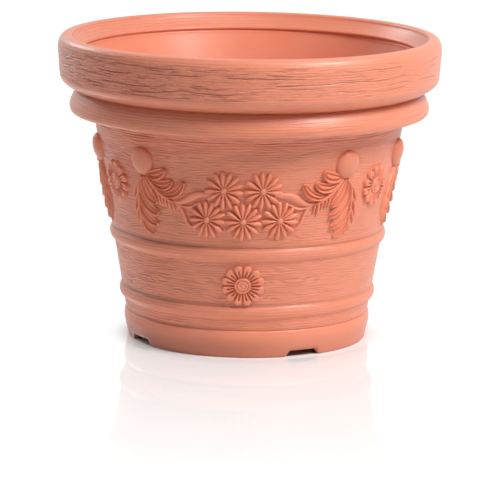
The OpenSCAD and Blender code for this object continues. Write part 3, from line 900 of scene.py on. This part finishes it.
def lobe(field, stops, side):
    # a curled lobe: a thick rim below and round the tip, a ridge along the middle and hollows
    near, share, rest, past = reach(field, stops)
    away = np.abs(share)
    across = smoothStops(lobeShape, 6)
    height = np.interp(share * side, across[:, 0], across[:, 1])
    rim = np.interp(away, across[:, 0], across[:, 1])
    height = height + smoothStep(past * 1.6) * np.clip(1.5 - past, 0, 1) * (rim - height)
    height = np.where(away > 1, 1.2 * (1 - away), height)
    raiseTo(field, near, rest[:, 1] * height, sprig["lobeBlend"])


def newField(low, high, spacing):
    # a flat grid between two corners, with its places and a relief below the wall
    bm = bmesh.new()
    size = [high[0] - low[0], high[1] - low[1]]
    counts = [round(s / spacing) for s in size]
    bmesh.ops.create_grid(bm, x_segments=counts[0], y_segments=counts[1], size=0.5)
    places = np.array([v.co[:2] for v in bm.verts])
    u = low[0] + (places[:, 0] + 0.5) * size[0]
    v = low[1] + (places[:, 1] + 0.5) * size[1]
    return bm, {"u": u, "v": v, "h": np.full(u.shape, -4.0)}


def pressSprig(bm, field, middle):
    # trims the grid to its ornament, gives it a back in the wall and lays it on the wall
    places = list(zip(field["u"], field["v"], np.maximum(field["h"], -sprig["edge"])))
    empty = field["h"] < -sprig["edge"] - 0.4
    bm.verts.ensure_lookup_table()
    tags = bm.verts.layers.int.new("place")
    shadeLayer = bm.verts.layers.float.new("groove")
    for index, vert in enumerate(bm.verts):
        vert[tags] = index
    unused = [f for f in bm.faces if all(empty[v[tags]] for v in f.verts)]
    bmesh.ops.delete(bm, geom=unused, context="FACES")
    made = bmesh.ops.extrude_face_region(bm, geom=bm.faces[:], use_keep_orig=True)
    front = {g for g in made["geom"] if isinstance(g, bmesh.types.BMVert)}
    for vert in bm.verts:
        across, up, height = places[vert[tags]]
        vert.co = onWall(across, up, height if vert in front else -sprig["sink"], middle)
        # painted shade: the lower the front, the darker, most on the shaded side
        low = min(max(1 - height / sprig["sprigShadeHeight"], 0), 1)
        vert[shadeLayer] = sprig["sprigShade"] * low * shadeShareAt(vert, "sprigShade")
    bmesh.ops.recalc_face_normals(bm, faces=bm.faces)
    return bm


def placeSprigs(bm, name):
    # one copy for each festoon, turned round the axis, for the node of the same name
    mesh = meshFrom(bm, name)
    for number in range(1, festoons + 1):
        turned = mesh if number == festoons else mesh.copy()
        turned.transform(Matrix.Rotation(math.tau / festoons * (number - 1), 4, "Z"))
        node = f"{name}_{number}"
        turned.name = node
        finishPiece(turned, f"{node}_sprig", sprigResin, "ornament", "pot", node)


# The festoon's flowers: slender petals, unevenly spaced, round a small dome
starFlower = {
    "radius": 25,
    "relief": 5.4,
    "turns": [93, 69, 43, 19, -7, -38, -68, -95, -120, -150, -177, 149, 117],
    "stops": [[0.10, 0.9, 0.8], [0.36, 2.0, 0.95], [0.66, 3.5, 1.0], [0.88, 2.9, 0.8], [0.97, 1.6, 0.45]],
    "blend": 0.25,
    "eye": 3.4,
    "eyeRise": 1.3,
    "eyeBlend": 0.1,
    "places": [[-24.4, 7], [24.4, 7], [0, -33.5], [-47.3, -32], [47.3, -32]],
}
ribbons = {
    "low": (-96, -62),
    "high": (96, 34),
    "upper": [[94, -11.5, 1.4, 2.4], [85.5, -12.2, 2.6, 3.2], [77.5, -9.6, 4.2, 3.8],
              [68.6, -4.6, 5.4, 4.0], [58.5, -0.2, 4.8, 3.8], [49, 0.8, 3.8, 3.4], [41, 1.5, 2.6, 3.0]],
    "middle": [[89, -14.6, 1.2, 2.2], [77, -17.4, 1.8, 2.8], [69, -16.6, 2.1, 3.0],
               [62, -12.9, 1.7, 2.8], [57, -10.5, 1.1, 2.2]],
    "lower": [[90, -13.5, 1.4, 2.4], [82.7, -20, 2.3, 3.4], [78.8, -28.5, 2.5, 3.6],
              [76, -36, 2.4, 3.6], [71.2, -42, 2.1, 3.0], [64, -46, 1.3, 2.2]],
}


def sided(stops, side):
    return [[stop[0] * side] + stop[1:] for stop in stops]


def starPetals(field, place):
    f = starFlower
    for turn in f["turns"]:
        way = (math.cos(math.radians(turn)), math.sin(math.radians(turn)))
        petal(field, [[place[0] + way[0] * s[0] * f["radius"], place[1] + way[1] * s[0] * f["radius"],
                       s[1], s[2] * f["relief"]] for s in f["stops"]], f["blend"])
    away = np.hypot(field["u"] - place[0], field["v"] - place[1])
    near = np.flatnonzero(away < f["eye"] + 1)
    dome = f["relief"] + f["eyeRise"] * crown(away[near] / f["eye"], 0.6)
    raiseTo(field, near, np.where(away[near] < f["eye"], dome, -4), f["eyeBlend"])


def makeBouquet():
    bm, field = newField(ribbons["low"], ribbons["high"], sprig["grid"])
    for side in (-1, 1):
        for ribbon in ("lower", "middle", "upper"):
            petal(field, sided(ribbons[ribbon], side))
    for place in starFlower["places"]:
        starPetals(field, place)
    placeSprigs(pressSprig(bm, field, garlandZ), "bouquet")


# The leaf that runs from a knob to the flowers; heights here are shares of its relief
leafRelief = 5.5
swagLeaf = {
    "stem": [[131, 16.6, 1.8, 0.8], [126, 10.5, 2.8, 1], [119.5, 3.5, 2.8, 1], [111.5, -3.5, 2.6, 0.95],
             [102.5, -9, 2.2, 0.85], [94, -12.8, 1.3, 0.6]],
    "lobes": [
        [[125.4, 20.6, 3.2, 0.9], [121, 20.4, 6.6, 1.1], [114.5, 21.6, 7.8, 1.15],
         [108.8, 24, 6.8, 1.1], [105.6, 26.6, 4.6, 1]],
        [[121, 11.2, 2.8, 0.9], [114.5, 8.6, 5.9, 1.1], [106.5, 8.3, 7.3, 1.15],
         [100, 10, 6.6, 1.1], [95.8, 12.8, 4.4, 1]],
        [[108, -2.6, 2, 0.8], [99.5, -3.2, 4.8, 1.1], [91.5, -0.9, 6.4, 1.15],
         [84.6, 3.6, 6.6, 1.15], [80.2, 8.6, 5.2, 1.1], [78, 12.2, 3.4, 1]],
    ],
    "fingers": [
        [[120, 2.5, 1.6, 0.6], [118, -7.6, 0.9, 0.3]],
        [[115.5, -2, 1.6, 0.6], [114.3, -11, 1.9, 0.7], [113.6, -19, 0.8, 0.2]],
        [[110.5, -4.5, 1.7, 0.6], [109.6, -12.5, 1.9, 0.7], [109, -19, 0.8, 0.2]],
        [[105.5, -7.5, 1.6, 0.6], [104.6, -14.5, 1.9, 0.7], [104, -20.5, 0.8, 0.2]],
        [[100, -10, 1.8, 0.6], [99, -19, 2.7, 0.8], [97.5, -29, 0.8, 0.2]],
        [[95, -12.5, 1.4, 0.5], [93.6, -19, 1.7, 0.6], [92.5, -26, 0.7, 0.2]],
    ],
    "low": (74, -32),
    "high": (134, 36),
}
hangingLeaf = {
    "stem": [[142, 15.6, 2, 0.8], [146, 6, 2.6, 1.1], [148.8, -10, 2.7, 1.1],
             [149.2, -26, 2.5, 1.1], [148, -42, 2.2, 1], [145.5, -60, 0.8, 0.3]],
    "bodies": [
        [[138, 12, 5, 0.3], [136, 0, 10, 0.5], [135, -14, 12, 0.6], [135.4, -28, 12.4, 0.6],
         [137, -42, 11, 0.5], [140, -56, 7, 0.25]],
    ],
    "lobes": [
        [[137.6, 12.6, 4, 1], [133.6, 3, 7.2, 1.3], [128.7, -6.4, 7.6, 1.35],
         [124, -12.2, 5.6, 1.15], [121.2, -14.8, 3.6, 0.9]],
        [[145.4, -4, 2.8, 1], [139.6, -12.8, 5.6, 1.3], [131.4, -21.4, 6.3, 1.35],
         [124.4, -26.8, 5.2, 1.15], [120.6, -29.2, 3.6, 0.9]],
        [[147.4, -20, 2.8, 1], [141.8, -29, 5.5, 1.25], [134.4, -36.6, 6.3, 1.25],
         [127.6, -41.8, 5.2, 1.0], [123.8, -44.2, 3.6, 0.8]],
        [[147.6, -35, 2.4, 0.9], [143.4, -43.6, 4.6, 1], [137.6, -50.4, 5, 0.95],
         [132.4, -54.6, 4.2, 0.7], [129.6, -56.4, 2.8, 0.5]],
    ],
    "fingers": [
        [[147.5, 9, 1.6, 0.7], [155.5, -2, 2, 0.8], [162, -14, 0.8, 0.2]],
        [[149.2, -5, 1.6, 0.7], [157, -18, 2, 0.8], [163.5, -34, 0.8, 0.2]],
        [[149.5, -21, 1.6, 0.7], [156, -32, 2, 0.8], [161.6, -44, 0.8, 0.2]],
        [[148.5, -36, 1.5, 0.6], [152, -45, 1.8, 0.7], [154, -53, 0.8, 0.2]],
    ],
    "low": (115, -64),
    "high": (168, 20),
}


def scaled(stops, side):
    return [[s[0] * side, s[1], s[2], s[3] * leafRelief] for s in stops]


def makeLeaf(leaf, name):
    for side, word in ((-1, "left"), (1, "right")):
        ends = sorted((leaf["low"][0] * side, leaf["high"][0] * side))
        low, high = leaf["low"][1], leaf["high"][1]
        bm, field = newField((ends[0], low), (ends[1], high), sprig["fineGrid"])
        for stops in leaf["fingers"] + leaf.get("bodies", []):
            petal(field, scaled(stops, side))
        for stops in reversed(leaf["lobes"]):
            lobe(field, scaled(stops, side), side)
        petal(field, scaled(leaf["stem"], side))
        placeSprigs(pressSprig(bm, field, garlandZ), f"{name}_{word}")


# A knob: egg-shaped, a little longer and narrower below
knob = {
    "place": [137.4, 37.0],
    "halfWidth": 17.6,
    "above": 17.4,
    "below": 19.2,
    "relief": 9.5,
    "drawIn": 0.15,
    "dust": 0.12,     # painted shade: a knob's least share of the darker tone, all over it
}


def makeKnobs():
    k = knob
    for side, word in ((-1, "left"), (1, "right")):
        place = (k["place"][0] * side, k["place"][1])
        low = (place[0] - k["halfWidth"] - 2, place[1] - k["below"] - 2)
        high = (place[0] + k["halfWidth"] + 2, place[1] + k["above"] + 2)
        bm, field = newField(low, high, sprig["grid"])
        across = (field["u"] - place[0]) / k["halfWidth"]
        up = field["v"] - place[1]
        up = up / np.where(up < 0, k["below"], k["above"])
        drawn = 1 - k["drawIn"] * np.clip(-up, 0, 1.1) ** 2
        share = np.hypot(across / drawn, up)
        field["h"] = k["relief"] * crown(share, 0.52)
        pressed = pressSprig(bm, field, garlandZ)
        # painted shade: every knob gets at least this share of the darker tone
        shadeLayer = pressed.verts.layers.float["groove"]
        for vert in pressed.verts:
            vert[shadeLayer] = max(vert[shadeLayer], k["dust"])
        placeSprigs(pressed, f"knob_{word}")


# A rosette: looped petals with slits in them round a ringed disc
rosette = {
    "radius": 28.0,
    "petals": 12,
    "relief": 4.4,
    "inner": [8.5, 1.95],     # place and half width of a petal at the disc
    "outer": [22.0, 5.85],    # and where it is widest
    "edge": 1.9,
    "slit": [19.5, 0.9],      # where the slit in a petal ends, and its half width
    "sunk": 0.8,
    "disc": 10.7,
    "rings": [[0, 0.92], [1.6, 0.98], [2.9, 0.78], [3.6, 0.72], [4.8, 1.0], [6.2, 0.98], [7.0, 0.62],
              [7.7, 0.6], [8.6, 1.0], [10.0, 0.96], [10.7, 0.55]],
}


def loopedRosette(middle):
    r = rosette
    edge = r["radius"] + 2
    bm, field = newField((-edge, -edge), (edge, edge), sprig["fineGrid"])
    away = np.hypot(field["u"], field["v"])
    step = 360 / r["petals"]
    turn = np.degrees(np.arctan2(field["v"], field["u"])) - 90 - step / 2
    off = np.radians((turn + step / 2) % step - step / 2)
    along, across = away * np.cos(off), away * np.sin(off)
    (a, ra), (b, rb) = r["inner"], r["outer"]
    t = np.clip((along - a) / (b - a), 0, 1)
    half = ra + t * (rb - ra)
    depth = half - np.hypot(along - a - t * (b - a), across)
    rise = np.where(depth > 0, smoothStep(depth / r["edge"]) ** 0.8, depth * 1.5 / r["relief"])
    end, wide = r["slit"]
    slit = np.hypot(along - np.clip(along, a, end), across)
    sink = smoothStep((wide + 0.6 - slit) / 1.2) * r["sunk"]
    field["h"] = r["relief"] * (rise - sink)
    near = np.flatnonzero(away < r["disc"])
    rings = np.array(r["rings"])
    field["h"][near] = r["relief"] * np.interp(away[near], rings[:, 0], rings[:, 1])
    return pressSprig(bm, field, middle)


makeFoot()
makeFloors()
makeWalls()
makeBead()
makeRim()
makeLiner()
makePlugs()
print("pot turned")

makeBouquet()
makeLeaf(swagLeaf, "swag_leaf")
makeLeaf(hangingLeaf, "hanging_leaf")
makeKnobs()
placeSprigs(loopedRosette(bandZ), "rosette")
gapRosette = loopedRosette(garlandZ + 2)
bmesh.ops.rotate(gapRosette, verts=gapRosette.verts, cent=(0, 0, 0),
                 matrix=Matrix.Rotation(math.pi / festoons, 3, "Z"))
placeSprigs(gapRosette, "gap_daisy")
print("sprigs pressed")

# Floor, daylight and lamps, in metres. Going out from the pot, the floor turns from paper that
# holds the shadow to plain white, and is a faint mirror in between: glow and gloss are its shares
# by the distance from a middle just beside the pot's axis.
stage = {
    "floorSize": 40,
    "floorWhite": 0.86,
    "glow": [[0.152, 0.0], [0.163, 0.36], [0.177, 0.74], [0.197, 0.93], [0.40, 0.96]],
    "gloss": [[0.156, 0.0], [0.159, 0.15], [0.170, 0.38], [0.45, 0.24], [0.72, 0.12], [1.20, 0.0]],
    "middle": (0.003, -0.001, 0),
    "glowLevel": 1.13,
    "mirrorRoughness": 0.06,
    "sky": 0.055,
    "key": {"turn": 55, "rise": 44, "away": 2.6, "size": 0.85, "watts": 63.5},
    "top": {"turn": 20, "rise": 72, "away": 2.6, "size": 1.2, "watts": 9},
    "fill": {"turn": -42, "rise": 18, "away": 2.8, "size": 1.6, "watts": 8},
    "back": {"turn": -134, "rise": 30, "away": 2.8, "size": 1.0, "watts": 22},
}


def ringed(away, stops):
    # a value that changes with the distance from the pot's axis
    end = stops[-1][0]
    grey = [(at / end, (value, value, value, 1)) for at, value in stops]
    return away.node("ShaderNodeValToRGB", {"stops": grey}, {"Fac": away * (1 / end)})


def seenBy(start, *rays):
    # 1 for the camera and the other rays named, 0 for the light that falls on the pot
    seen = start.node("ShaderNodeLightPath", output="Is Camera Ray")
    for ray in rays:
        seen = seen.maths("MAXIMUM", seen, start.node("ShaderNodeLightPath", output=ray))
    return seen


def makeFloor():
    bm = bmesh.new()
    bmesh.ops.create_grid(bm, x_segments=1, y_segments=1, size=stage["floorSize"] / 2)
    floor = newObject("white_floor", meshFrom(bm, "white_floor"))
    material, start = startMaterial("white_acrylic")
    white = stage["floorWhite"]
    seen = seenBy(start, "Is Glossy Ray")
    place = start.node("ShaderNodeTexCoord", output="Object")
    away = start.node("ShaderNodeVectorMath", {"operation": "DISTANCE"}, {0: place, 1: stage["middle"]}, 1)
    diffuse = start.node("ShaderNodeBsdfDiffuse", None, {"Color": (white, white, white, 1)})
    plain = start.node("ShaderNodeEmission", None, {"Color": (1, 1, 1, 1), "Strength": stage["glowLevel"]})
    paper = start.node("ShaderNodeMixShader", None,
                       {0: seen * ringed(away, stage["glow"]), 1: diffuse, 2: plain})
    mirror = start.node("ShaderNodeBsdfAnisotropic", None,
                        {"Color": (1, 1, 1, 1), "Roughness": stage["mirrorRoughness"]})
    both = start.node("ShaderNodeMixShader", None, {0: ringed(away, stage["gloss"]), 1: paper, 2: mirror})
    start.node("ShaderNodeOutputMaterial", None, {"Surface": both})
    floor.data.materials.append(material)


def makeSky():
    world = bpy.data.worlds.new("white_sky")
    bpy.context.scene.world = world
    world.use_nodes = True
    world.node_tree.nodes.clear()
    start = Wire(world.node_tree)
    seen = seenBy(start, "Is Glossy Ray", "Is Transmission Ray")
    light = start.node("ShaderNodeBackground", None, {"Color": (1, 1, 1, 1), "Strength": stage["sky"]})
    plain = start.node("ShaderNodeBackground", None, {"Color": (1, 1, 1, 1), "Strength": 1.0})
    both = start.node("ShaderNodeMixShader", None, {0: seen, 1: light, 2: plain})
    start.node("ShaderNodeOutputWorld", None, {"Surface": both})


def around(turn, rise, away):
    turn, rise = math.radians(turn), math.radians(rise)
    return Vector((away * math.sin(turn) * math.cos(rise), -away * math.cos(turn) * math.cos(rise),
                   away * math.sin(rise)))


def makeLamp(name, spec):
    lamp = bpy.data.lights.new(name, "AREA")
    lamp.shape = "SQUARE"
    lamp.size = spec["size"]
    lamp.energy = spec["watts"]
    holder = newObject(name, lamp)
    middle = Vector((0, 0, potHeight / 2 * mm))
    holder.location = middle + around(spec["turn"], spec["rise"], spec["away"])
    holder.rotation_euler = (middle - holder.location).to_track_quat("-Z", "Y").to_euler()


# The camera: a long lens, 11 degrees down, a little to the right of the festoon's middle
camera = {
    "turn": 1.8,
    "away": 4.538,
    "height": 0.993,
    "pitch": 11.0,
    "roll": 0.75,
    "lens": 252.6,
    "shiftX": 0.0053,
}


def makeCamera():
    c = camera
    data = bpy.data.cameras.new("camera")
    data.lens = c["lens"]
    data.sensor_width = 36
    data.shift_x = c["shiftX"]
    data.clip_end = 60
    holder = newObject("camera", data)
    turn, pitch = math.radians(c["turn"]), math.radians(c["pitch"])
    holder.location = (c["away"] * math.sin(turn), -c["away"] * math.cos(turn), c["height"])
    look = Vector((-math.sin(turn) * math.cos(pitch), math.cos(turn) * math.cos(pitch), -math.sin(pitch)))
    holder.rotation_mode = "QUATERNION"
    roll = Quaternion((0, 0, 1), math.radians(c["roll"]))
    holder.rotation_quaternion = look.to_track_quat("-Z", "Y") @ roll
    bpy.context.scene.camera = holder


makeFloor()
makeSky()
for lampName in ("key", "top", "fill", "back"):
    makeLamp(f"{lampName}_lamp", stage[lampName])
makeCamera()
bpy.context.scene.view_settings.view_transform = "Standard"
print("stage set")

triangles = sum(len(o.data.loop_triangles) or len(o.data.polygons) * 2
                for o in bpy.data.objects if o.type == "MESH")
print("triangles, with the CAD nodes:", triangles)
